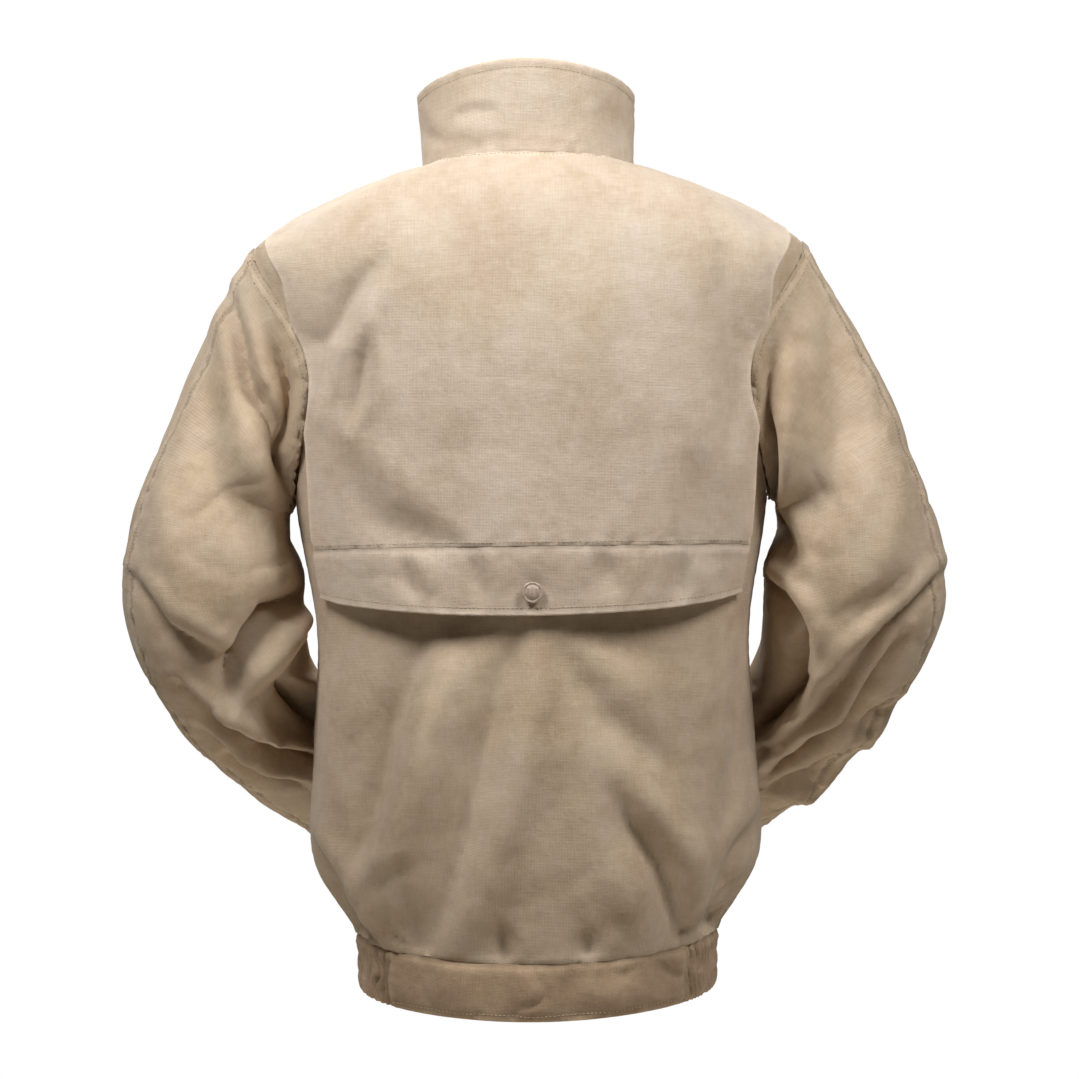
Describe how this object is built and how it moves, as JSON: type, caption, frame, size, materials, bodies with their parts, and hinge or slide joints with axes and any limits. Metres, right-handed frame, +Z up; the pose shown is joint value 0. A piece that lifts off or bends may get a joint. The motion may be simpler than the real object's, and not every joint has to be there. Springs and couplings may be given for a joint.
{
  "type": "beekeeping jacket",
  "caption": "Zip-front cotton canvas beekeeping blouson with stand collar, vented back cape snapped at its hem, bent sleeves, snap cuffs and an elasticated waistband.",
  "frame": {"origin": "middle of the neck opening, level with the neck seam at the centre back", "axes": "+Z up along the jacket's length, -Y towards its front, +X towards the wearer's left"},
  "size_m": [0.6594, 0.3629, 0.7501],
  "materials": {
    "canvas": "brushed",
    "pale_canvas": "brushed",
    "band": "matte",
    "mesh": "matte",
    "elastic": "ribbed",
    "snap_paint": "satin",
    "brass": "antique"
  },
  "bodies": {
    "jacket": {"back_panel": "canvas", "vent_mesh": "mesh", "back_cape": "pale_canvas", "cape_hem_end_left": "canvas", "cape_hem_end_right": "canvas", "back_snap_stud": "brass", "back_snap_post": "brass", "front_panel_left": "canvas", "front_panel_right": "canvas", "front_facing_left": "canvas", "front_facing_right": "canvas", "pocket_welt_left": "canvas", "pocket_welt_right": "canvas", "pocket_bag_left": "mesh", "pocket_bag_right": "mesh", "collar_outer": "pale_canvas", "collar_facing": "canvas", "hang_loop": "band", "sleeve_top_left": "canvas", "sleeve_top_right": "canvas", "sleeve_under_left": "canvas", "sleeve_under_right": "canvas", "cuff_left": "band", "cuff_right": "band", "cuff_snap_stud_left": "brass", "cuff_snap_stud_right": "brass", "waistband_back": "band", "waistband_side_left": "band", "waistband_side_right": "band", "waistband_front_left": "band", "waistband_front_right": "band", "elastic_left": "elastic", "elastic_right": "elastic", "zip_tape_left": "band", "zip_tape_right": "band", "zip_chain_left": "brass", "zip_chain_right": "brass", "zip_stop_left": "brass", "zip_stop_right": "brass", "zip_box": "brass", "zip_guard": "canvas"},
    "cape_hem": {"cape_flap": "canvas", "cape_snap_cap": "snap_paint", "cape_snap_socket": "brass"},
    "slider": {"zip_slider": "brass"},
    "pull": {"zip_pull": "brass"},
    "tab_left": {"cuff_tab_left": "band", "cuff_snap_cap_left": "snap_paint", "cuff_snap_socket_left": "brass"},
    "tab_right": {"cuff_tab_right": "band", "cuff_snap_cap_right": "snap_paint", "cuff_snap_socket_right": "brass"}
  },
  "joints": [
    {"name": "cape_hem_lift", "type": "hinge", "parent": "jacket", "child": "cape_hem", "pos_m": [0, 0.13103, -0.30779], "axis": [1, 0, 0], "range_deg": [0, 25]},
    {"name": "zip_slide", "type": "slide", "parent": "jacket", "child": "slider", "axis": [0, 0.0797, 0.9968], "range_m": [-0.63, 0]},
    {"name": "zip_pull_swing", "type": "hinge", "parent": "slider", "child": "pull", "pos_m": [0, -0.09951, -0.00319], "axis": [-1, 0, 0], "range_deg": [0, 165]},
    {"name": "cuff_tab_left_lift", "type": "hinge", "parent": "jacket", "child": "tab_left", "pos_m": [0.15534, -0.21161, -0.49465], "axis": [-0.5865, -0.5981, -0.5462], "range_deg": [0, 100]},
    {"name": "cuff_tab_right_lift", "type": "hinge", "parent": "jacket", "child": "tab_right", "pos_m": [-0.15534, -0.21161, -0.49465], "axis": [-0.5865, 0.5981, 0.5462], "range_deg": [0, 100]}
  ]
}
